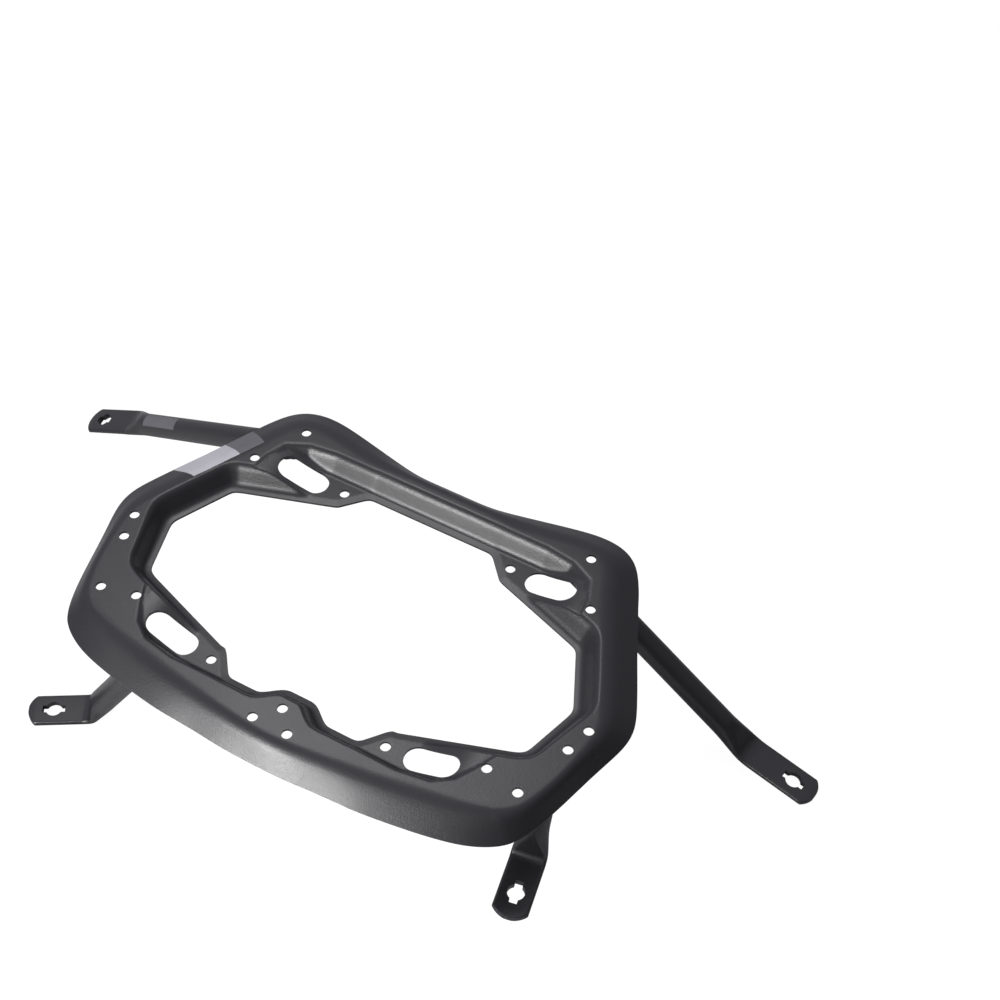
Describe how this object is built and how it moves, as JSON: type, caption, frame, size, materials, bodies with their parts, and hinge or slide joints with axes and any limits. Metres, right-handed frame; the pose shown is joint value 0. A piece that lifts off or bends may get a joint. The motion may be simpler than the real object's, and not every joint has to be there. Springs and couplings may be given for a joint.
{
  "type": "pannier frame",
  "caption": "Drawn sheet-steel side carrier plate for a motorcycle pannier, with four welded tube stays ending in flat tabs with keyed holes.",
  "frame": {"origin": "centre of the four case holes near the plate's corners, on the plate's outer face", "axes": "+X along the plate towards the long right stay's end, +Y from the bulged edge to the waisted edge, +Z out of the plate's outer face, away from the motorcycle"},
  "size_m": [0.6731, 0.2856, 0.1584],
  "materials": {
    "powder_coated_steel": "satin"
  },
  "bodies": {
    "root": {"carrier_plate": "powder_coated_steel", "long_stay_left": "powder_coated_steel", "long_stay_right": "powder_coated_steel", "short_stay_left": "powder_coated_steel", "short_stay_right": "powder_coated_steel"}
  },
  "joints": []
}
